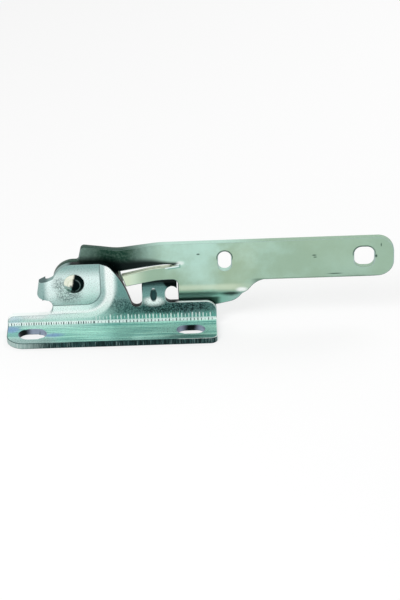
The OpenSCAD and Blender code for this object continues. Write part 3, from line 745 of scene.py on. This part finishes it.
def paint_web_edges(tree, vector, colour, colours):
    """Upper edges of the bracket: painted shade, painted highlights on the left strip and the right rim, and
    painted shade and a glint on the dart's rim.
    """
    x, y, z = split_axes(tree, vector)
    up = facing(tree)[2]
    top = fade(tree, up, *TOP_TURN)
    # Painted shade on the upper edges
    colour = paint(tree, colour, colours.specks_and_shade, top, 0.9)
    colour = paint(tree, colour, colours.shade, top, fade(tree, x, -6.0, 0.0))
    colour = paint(tree, colour, colours.edge, top, band(tree, x, -10.0, 5.0, 4.0), 0.7)
    slope = band(tree, x, 28.0, 10.0, 4.0)
    colour = paint(tree, colour, colours.shade, fade(tree, up, 0.02, 0.25), slope)
    # Painted highlights on the upper edges of the strip and of the right rim
    strip = meet(tree, fall(tree, x, -17.0, -14.0), band(tree, z, 10.5, 2.0, 2.0))
    colour = paint(tree, colour, colours.highlight_and_rub, top, strip)
    rim = meet(tree, fall(tree, y, 14.0, 14.8), fade(tree, x, 64.0, 68.0))
    colour = paint(tree, colour, colours.highlight_and_rub, top, rim)
    # Painted shade and a painted glint on the dart's rim
    colour = paint(tree, colour, colours.specks_and_shade, soft_patch(tree, vector, *DART_RIM, 0.0))
    return paint(tree, colour, colours.highlight_and_rub, soft_patch(tree, vector, *DART_RIM_GLINT, 0.0))


def paint_flange_edges(tree, vector, colour, colours, streaks):
    """Lavender walls of the two slots as painted shade, with their shades, and painted shade on the streaked front
    edge.
    """
    x, y, z = split_axes(tree, vector)
    foot = fall(tree, z, 4.6, 5.4)
    slots = [band(tree, x, MOUNTS[slot]["pos_m"][0] / MM, SLOT_HALF_X, 1.0) for slot in BASE_SLOTS]
    walls = meet(tree, foot, band(tree, y, 0.0, SLOT_HALF_Y, 1.0), calculate(tree, "MAXIMUM", *slots))
    # Painted shade: lavender walls in the slots
    colour = paint(tree, colour, colours.slot_wall_shade, walls)
    for spot, reach in SLOT_SHADES:
        colour = paint(tree, colour, colours.shade, soft_patch(tree, vector, spot, reach, 0.4), walls)
    # Painted shade on the flange's streaked front edge
    ahead = fall(tree, facing(tree)[1], -0.7, -0.3)
    ahead = meet(tree, ahead, fade(tree, x, -38.0, -12.0), fall(tree, y, -8.0, -7.0))
    streaked_shade = fade(tree, streaks, 0.55, 0.75, 1.0, 0.3)
    colour = paint(tree, colour, colours.specks_and_shade, foot, ahead, streaked_shade)
    return paint(tree, colour, colours.shade, foot, ahead, fall(tree, streaks, 0.44, 0.56), 0.8)


def bracket_edge(colours):
    """Edges of the bracket: painted shade above the web and along the flange's front, lavender painted shade in
    the slots.
    """
    material, tree, shader, vector = new_material("bracket_sheared")
    streaks, colour = sheared_steel(tree, vector, colours, BRACKET_STREAKS)
    colour = paint_web_edges(tree, vector, colour, colours)
    colour = paint_flange_edges(tree, vector, colour, colours, streaks)
    finish_edge(tree, shader, colour, colours, streaks)
    return material


def rivet_steel(colours):
    """Bright turned steel with rings about the pivot: its head with a painted dark reflection on the right and
    painted shade at the bottom.
    """
    material, tree, shader, vector = new_material("rivet_bright")
    x, y, z = split_axes(tree, vector)
    pivot_x, pivot_y, pivot_z = PIVOT / MM
    ahead = fall(tree, y, pivot_y - 4.0, pivot_y - 2.0)
    ends = {0: stretch(tree, vector, (1, 0, 1)), 1: (pivot_x, 0, pivot_z)}
    away = place(tree, "ShaderNodeVectorMath", ends, operation="DISTANCE").outputs["Value"]
    rings = noise(tree, place(tree, "ShaderNodeCombineXYZ", {"X": away}).outputs[0], 4.0, 2.0)
    cloud = noise(tree, vector, 0.5, 3.0)
    colour = blend(tree, fade(tree, cloud, 0.35, 0.7, 0.0, 0.4), colours.rivet, colours.cream_highlight_and_tint)
    # Painted shade at the bottom of the head
    colour = paint(tree, colour, colours.edge, fall(tree, z, 30.0, 32.0), ahead, 0.7)
    # Painted dark reflection on the right of the head
    lean = calculate(tree, "MULTIPLY", calculate(tree, "SUBTRACT", z, pivot_z), 0.25)
    slant = calculate(tree, "ADD", x, calculate(tree, "MULTIPLY", cloud, 1.4))
    slant = calculate(tree, "SUBTRACT", slant, lean)
    colour = paint(tree, colour, colours.shade, fade(tree, slant, -1.2, 0.2), ahead)
    ring = meet(tree, band(tree, away, 4.1, 0.15, 0.35), fade(tree, x, 0.0, 2.5))
    colour = paint(tree, colour, colours.edge, ring, ahead, 0.4)
    colour = paint(tree, colour, colours.specks_and_shade, soft_patch(tree, vector, *RIVET_DENT, 0.4), 0.9)
    scuff = soft_patch(tree, vector, *RIVET_SCUFF, 1.0)
    colour = paint(tree, colour, colours.specks_and_shade, scuff, band(tree, away, 4.6, 0.5, 0.6), 0.8)
    rough = fade(tree, cloud, 0.3, 0.7, 0.1, 0.2)
    finish_metal(tree, shader, colour, rough, rings, depth_mm=0.015)
    return material


def fold_tick(name, main, other):
    """Finish of the marks along the fold, in two close colours."""
    material, tree, shader, vector = new_material(name)
    streaks = noise(tree, vector, 0.8, 2.0)
    colour = blend(tree, fade(tree, streaks, 0.4, 0.7, 0.0, 0.3), main, other)
    rough = fade(tree, streaks, 0.3, 0.7, 0.25, 0.4)
    finish_metal(tree, shader, colour, rough, streaks, depth_mm=0.01, metallic=0.5)
    return material


def washer_zinc(colours):
    """Dull zinc of the washers."""
    material, tree, shader, vector = new_material("washer_zinc")
    pale, deep = colours.washer, colours.edge
    colour = plate_tint(tree, vector, pale, deep, colours.warm, cloud=5.0, share=0.3)
    height, specks = sheet_grain(tree, vector, size=0.5, specks=0.4)
    colour = paint(tree, colour, colours.specks_and_shade, specks, 0.4)
    rough = fade(tree, height, 0.3, 0.7, 0.32, 0.5)
    finish_metal(tree, shader, colour, rough, height, depth_mm=0.02)
    return material


# Meshes


def merged_copy(node, name):
    """A copy of a CAD node's mesh with its corners merged and its flat faces whole."""
    mesh = frame["nodes"][node].data.copy()
    mesh.name = name
    mesh.materials.clear()
    mesh.attributes.remove(mesh.attributes["custom_normal"])
    solid = bmesh.new()
    solid.from_mesh(mesh)
    bmesh.ops.remove_doubles(solid, verts=solid.verts, dist=MERGE_GAP)
    bmesh.ops.dissolve_limit(solid, angle_limit=FLAT_ANGLE, verts=solid.verts, edges=solid.edges)
    sharp = [edge for edge in solid.edges if edge.calc_face_angle(0.0) > SHARP_ANGLE]
    bmesh.ops.dissolve_degenerate(solid, dist=SHORT_EDGE, edges=sharp)
    for face in solid.faces:
        face.smooth = True
    for edge in solid.edges:
        edge.smooth = True
    solid.to_mesh(mesh)
    solid.free()
    piece = bpy.data.objects.new(name, mesh)
    bpy.context.scene.collection.objects.link(piece)
    return piece


def split_at_creases(faces, crease):
    """Groups of faces that meet without a crease, the largest in area first."""
    groups = []
    waiting = set(faces)
    while waiting:
        group = [waiting.pop()]
        for face in group:
            for edge in face.edges:
                if edge.calc_face_angle(math.pi) < crease:
                    near = [other for other in edge.link_faces if other in waiting]
                    waiting.difference_update(near)
                    group.extend(near)
        groups.append(group)
    return sorted(groups, key=lambda group: -sum(face.calc_area() for face in group))


def mark_sheared_faces(piece, crease):
    """Gives material slot 1 to every face that isn't on one of a sheet's two skins."""
    solid = bmesh.new()
    solid.from_mesh(piece.data)
    solid.faces.ensure_lookup_table()
    for group in split_at_creases(sorted(solid.faces, key=lambda face: face.index), crease)[2:]:
        for face in group:
            face.material_index = 1
    solid.to_mesh(piece.data)
    solid.free()


def crosses_cleanly(edge, corner, crease):
    """Whether no smooth edge leaves a crease's end at a slant, where a rounding would run off along it."""
    along = (edge.other_vert(corner).co - corner.co).normalized()
    for other in corner.link_edges:
        if other.calc_face_angle(math.pi) < crease:
            away = (other.other_vert(corner).co - corner.co).normalized()
            if abs(away.dot(along)) > math.cos(SLANT_ANGLE):
                return False
    return True


def weigh_creases(piece, crease):
    """Gives full bevel weight to the creases that can be rounded, and marks the others as sharp."""
    solid = bmesh.new()
    solid.from_mesh(piece.data)
    weight = solid.edges.layers.float.new("bevel_weight_edge")
    for edge in solid.edges:
        if edge.calc_face_angle(0.0) > crease:
            edge.smooth = all(crosses_cleanly(edge, corner, crease) for corner in edge.verts)
            edge[weight] = float(edge.smooth)
    solid.to_mesh(piece.data)
    solid.free()


def round_edges(piece, width, steps, crease):
    """Rounds a piece's creases with a live bevel and keeps its flat faces flat."""
    weigh_creases(piece, crease)
    bevel = piece.modifiers.new("die_roll", "BEVEL")
    bevel.width = width
    bevel.segments = steps
    bevel.limit_method = "WEIGHT"
    bevel.use_clamp_overlap = False
    bevel.loop_slide = False
    bevel.material = len(piece.data.materials) - 1
    flat = piece.modifiers.new("flat_faces", "WEIGHTED_NORMAL")
    flat.weight = 100
    flat.keep_sharp = True


def stand_in(piece, node, body):
    """Puts a finished piece in a CAD node's place."""
    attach(piece, body)
    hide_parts(node)


def dress_sheet(node, name, body, skin, edge):
    """A pressed sheet with rounded edges, plated skins and sheared edges."""
    sizes = bpy.context.scene.hinge_sheet_sizes
    piece = merged_copy(node, name)
    piece.data.materials.append(skin)
    piece.data.materials.append(edge)
    mark_sheared_faces(piece, sizes.crease)
    round_edges(piece, sizes.die_roll, sizes.die_steps, sizes.crease)
    stand_in(piece, node, body)


def dress_turned(node, name, material):
    """A turned or stamped round piece on the pivot, with its rims rounded."""
    sizes = bpy.context.scene.hinge_sheet_sizes
    piece = merged_copy(node, name)
    piece.data.materials.append(material)
    round_edges(piece, sizes.die_roll / 2, sizes.die_steps, sizes.crease)
    stand_in(piece, node, "base")


# Geometry Nodes

MARK_INPUTS = [
    ("Start", "Vector"),
    ("Count", "Int"),
    ("Pitch", "Float"),
    ("Size", "Vector"),
    ("Lean", "Vector"),
    ("Shortest", "Float"),
    ("Seed", "Int"),
    ("Finish", "Material"),
]


def fold_mark_tree():
    """A row of small lens-shaped marks, each with its own length."""
    tree = bpy.data.node_groups.new("fold_marks", "GeometryNodeTree")
    for label, kind in MARK_INPUTS:
        tree.interface.new_socket(label, in_out="INPUT", socket_type="NodeSocket" + kind)
    tree.interface.new_socket("Geometry", in_out="OUTPUT", socket_type="NodeSocketGeometry")
    given = tree.nodes.new("NodeGroupInput").outputs
    step = place(tree, "ShaderNodeCombineXYZ", {"X": given["Pitch"]}).outputs[0]
    line = {"Count": given["Count"], "Start Location": given["Start"], "Offset": step}
    row = place(tree, "GeometryNodeMeshLine", line, mode="OFFSET").outputs[0]
    ball = {"Segments": MARK_SEGMENTS, "Rings": MARK_RINGS, "Radius": 0.5}
    mark = place(tree, "GeometryNodeMeshUVSphere", ball).outputs[0]
    limits = {2: given["Shortest"], 3: 1.0, "Seed": given["Seed"]}
    drawn = place(tree, "FunctionNodeRandomValue", limits, data_type="FLOAT").outputs[1]
    scaling = {0: given["Size"], "Scale": drawn}
    size = place(tree, "ShaderNodeVectorMath", scaling, operation="SCALE").outputs[0]
    turn = place(tree, "FunctionNodeEulerToRotation", {"Euler": given["Lean"]}).outputs[0]
    copies = {"Points": row, "Instance": mark, "Rotation": turn, "Scale": size}
    marks = place(tree, "GeometryNodeInstanceOnPoints", copies).outputs[0]
    real = place(tree, "GeometryNodeRealizeInstances", {0: marks}).outputs[0]
    smooth = place(tree, "GeometryNodeSetShadeSmooth", {0: real}).outputs[0]
    coated = {"Geometry": smooth, "Material": given["Finish"]}
    done = place(tree, "GeometryNodeSetMaterial", coated).outputs[0]
    tree.links.new(done, tree.nodes.new("NodeGroupOutput").inputs["Geometry"])
    return tree


def grow(name, tree, values):
    """A plain mesh piece made by a node tree with these input values."""
    piece = bpy.data.objects.new(name, bpy.data.meshes.new(name))
    bpy.context.scene.collection.objects.link(piece)
    modifier = piece.modifiers.new("grow", "NODES")
    modifier.node_group = tree
    for item in tree.interface.items_tree:
        if item.in_out == "INPUT":
            modifier[item.identifier] = values[item.name]
    grown = piece.evaluated_get(bpy.context.evaluated_depsgraph_get())
    mesh = bpy.data.meshes.new_from_object(grown)
    piece.modifiers.remove(modifier)
    mesh.materials.pop(index=0)
    piece.data = mesh
    return piece


class HINGE_OT_bracket(Operator):
    """Dresses the folded base bracket"""

    bl_idname = "hinge.bracket"
    bl_label = "Bracket"

    def execute(self, context):
        colours = context.scene.hinge_colours
        skin = bracket_plate(colours)
        edge = bracket_edge(colours)
        dress_sheet("bracket", "bracket_sheet", "base", skin, edge)
        return {"FINISHED"}


class HINGE_OT_arm(Operator):
    """Dresses the long hinge arm"""

    bl_idname = "hinge.arm"
    bl_label = "Arm"

    def execute(self, context):
        colours = context.scene.hinge_colours
        skin = arm_plate(colours)
        edge = arm_edge(colours)
        dress_sheet("hinge_arm", "arm_sheet", "arm", skin, edge)
        return {"FINISHED"}


class HINGE_OT_pivot(Operator):
    """Dresses the rivet and the two washers on it"""

    bl_idname = "hinge.pivot"
    bl_label = "Pivot"

    def execute(self, context):
        colours = context.scene.hinge_colours
        washer = washer_zinc(colours)
        dress_turned("pivot_rivet", "rivet_turned", rivet_steel(colours))
        dress_turned("spacer_washer", "spacer_ring", washer)
        dress_turned("back_washer", "back_ring", washer)
        return {"FINISHED"}


def mark_row(name, tree, span, pitch, place_m, size, lean, finish):
    """One row of marks along the bracket, from one X to another."""
    values = {
        "Start": (span[0], *place_m),
        "Count": int((span[1] - span[0]) / pitch) + 1,
        "Pitch": pitch,
        "Size": size,
        "Lean": (lean, 0, 0),
        "Shortest": SHORTEST_MARK,
        "Seed": bpy.context.scene.hinge_fold_marks.seed,
        "Finish": finish,
    }
    piece = grow(name, tree, values)
    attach(piece, "base")


class HINGE_OT_fold_marks(Operator):
    """Adds the rows of coining marks along the bracket's fold"""

    bl_idname = "hinge.fold_marks"
    bl_label = "Fold marks"

    def execute(self, context):
        marks = context.scene.hinge_fold_marks
        sizes = context.scene.hinge_sheet_sizes
        colours = context.scene.hinge_colours
        tree = fold_mark_tree()
        grime = fold_tick("fold_tick", colours.specks_and_shade, colours.shade_and_tick_grey)
        rub = fold_tick("fold_rub", colours.highlight_and_rub, colours.bracket_pale)
        out = sizes.fold * (1 - math.cos(FOLD_LEAN))
        fold = (WEB_FACE_Y - out, BRACKET_LOW.z + sizes.sheet + out)
        left, right = BRACKET_LOW.x + marks.inset, BRACKET_HIGH.x - marks.inset
        fine, coarse = marks.fine_pitch, marks.coarse_pitch
        size = (fine * FINE_WIDTH, 2 * marks.height, marks.length)
        mark_row("fold_fine", tree, (left, marks.change), fine, fold, size, -FOLD_LEAN, grime)
        size = (coarse * COARSE_WIDTH, 2 * marks.height, marks.length)
        mark_row("fold_coarse", tree, (marks.change, right), coarse, fold, size, -FOLD_LEAN, grime)
        rub_z = BRACKET_LOW.z + sizes.sheet + sizes.fold + marks.rub_length * RUB_RISE
        web = (WEB_FACE_Y, rub_z)
        size = (coarse * RUB_WIDTH, 2 * marks.rub_height, marks.rub_length)
        mark_row("fold_rubs", tree, (marks.change + coarse / 2, right), coarse, web, size, 0.0, rub)
        return {"FINISHED"}


# Studio


def stage_mesh(name, corners):
    """One four-sided sheet of the stage."""
    mesh = bpy.data.meshes.new(name)
    mesh.from_pydata(corners, [], [(0, 1, 2, 3)])
    sheet = bpy.data.objects.new(name, mesh)
    bpy.context.scene.collection.objects.link(sheet)
    return sheet


def seen_rays(tree):
    """1 for rays that show the background: from the camera, in gloss and through glass."""
    rays = place(tree, "ShaderNodeLightPath").outputs
    seen = calculate(tree, "MAXIMUM", rays["Is Camera Ray"], rays["Is Glossy Ray"])
    return calculate(tree, "MAXIMUM", seen, rays["Is Transmission Ray"])


def floor_material(studio):
    """Pale floor that reads as white and still takes a soft shadow."""
    material = bpy.data.materials.new("pale_floor")
    material.use_nodes = True
    tree = material.node_tree
    tree.nodes.remove(tree.nodes["Principled BSDF"])
    matt = place(tree, "ShaderNodeBsdfDiffuse", {"Color": studio.floor}).outputs[0]
    white = place(tree, "ShaderNodeEmission", {"Color": (1, 1, 1, 1), "Strength": 1.0}).outputs[0]
    share = calculate(tree, "MULTIPLY", seen_rays(tree), FLOOR_WHITE)
    mixed = place(tree, "ShaderNodeMixShader", {0: share, 1: matt, 2: white}).outputs[0]
    tree.links.new(mixed, tree.nodes["Material Output"].inputs["Surface"])
    return material


def light_world(studio):
    """White surround for what is seen, and a plain level of light for the rest."""
    world = bpy.data.worlds.new("studio")
    world.use_nodes = True
    tree = world.node_tree
    strength = fade(tree, seen_rays(tree), 0.0, 1.0, studio.ambient, 1.0)
    sky = tree.nodes["Background"]
    sky.inputs["Color"].default_value = (1, 1, 1, 1)
    tree.links.new(strength, sky.inputs["Strength"])
    bpy.context.scene.world = world


def add_lamp(name, place_m, power):
    """A soft square lamp aimed at the hinge."""
    data = bpy.data.lights.new(name, "AREA")
    data.size = LAMP_SIZE
    data.energy = power
    lamp = bpy.data.objects.new(name, data)
    lamp.location = place_m
    centre = (CAD_BOX[0] + CAD_BOX[1]) / 2
    lamp.rotation_euler = (centre - lamp.location).to_track_quat("-Z", "Y").to_euler()
    lamp.visible_glossy = False
    bpy.context.scene.collection.objects.link(lamp)


def add_camera(studio):
    """Long-lens camera that puts the pivot at its pixel of the picture."""
    tilt, roll = studio.elevation, studio.roll
    ahead = Vector((0, math.cos(tilt), -math.sin(tilt)))
    level_right = Vector((1, 0, 0))
    level_up = Vector((0, math.sin(tilt), math.cos(tilt)))
    right = level_right * math.cos(roll) - level_up * math.sin(roll)
    up = level_up * math.cos(roll) + level_right * math.sin(roll)
    target = Vector((PIVOT.x, WEB_FACE_Y, PIVOT.z))
    target -= right * (studio.pivot_x - PICTURE[0] / 2) * studio.pixel
    target -= up * (PICTURE[1] / 2 - studio.pivot_y) * studio.pixel
    data = bpy.data.cameras.new("camera")
    data.lens = data.sensor_width * studio.distance / (PICTURE[1] * studio.pixel)
    camera = bpy.data.objects.new("camera", data)
    matrix = camera.matrix_world.to_3x3()
    matrix.col[0], matrix.col[1], matrix.col[2] = right, up, -ahead
    camera.matrix_world = matrix.to_4x4()
    camera.location = target - ahead * studio.distance
    bpy.context.scene.collection.objects.link(camera)
    bpy.context.scene.camera = camera


class HINGE_OT_studio(Operator):
    """Sets up the camera, floor, surround and lamps"""

    bl_idname = "hinge.studio"
    bl_label = "Studio"

    def execute(self, context):
        studio = context.scene.hinge_studio
        context.scene.view_settings.view_transform = "Standard"
        add_camera(studio)
        light_world(studio)
        signs = ((-1, -1), (1, -1), (1, 1), (-1, 1))
        corners = [(x * FLOOR_HALF, y * FLOOR_HALF, CAD_BOX[0].z) for x, y in signs]
        floor = stage_mesh("floor", corners)
        floor.data.materials.append(floor_material(studio))
        add_lamp("key_lamp", KEY_PLACE, studio.key_power)
        add_lamp("fill_lamp", FILL_PLACE, studio.fill_power)
        return {"FINISHED"}


class HINGE_PT_finish(Panel):
    """Lists the hinge's pieces and their sizes"""

    bl_idname = "HINGE_PT_finish"
    bl_label = "Bonnet Hinge"
    bl_space_type = "VIEW_3D"
    bl_region_type = "UI"
    bl_category = "Bonnet Hinge"

    def draw(self, context):
        for operator in OPERATORS:
            self.layout.operator(operator.bl_idname)
        for name in GROUPS:
            box = self.layout.box()
            group = getattr(context.scene, name)
            for key in group.__annotations__:
                box.prop(group, key)


GROUPS = {
    "hinge_sheet_sizes": HingeSheetSizes,
    "hinge_colours": HingeColours,
    "hinge_fold_marks": HingeFoldMarks,
    "hinge_studio": HingeStudio,
}
OPERATORS = [HINGE_OT_studio, HINGE_OT_bracket, HINGE_OT_arm, HINGE_OT_pivot, HINGE_OT_fold_marks]
CLASSES = [*GROUPS.values(), *OPERATORS, HINGE_PT_finish]


def register():
    for cls in CLASSES:
        bpy.utils.register_class(cls)
    for name, group in GROUPS.items():
        setattr(bpy.types.Scene, name, PointerProperty(type=group))


def unregister():
    for name in GROUPS:
        delattr(bpy.types.Scene, name)
    for cls in reversed(CLASSES):
        bpy.utils.unregister_class(cls)


def main():
    register()
    bpy.ops.hinge.studio()
    bpy.ops.hinge.bracket()
    bpy.ops.hinge.arm()
    bpy.ops.hinge.pivot()
    bpy.ops.hinge.fold_marks()
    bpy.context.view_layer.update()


if __name__ == "__main__":
    main()
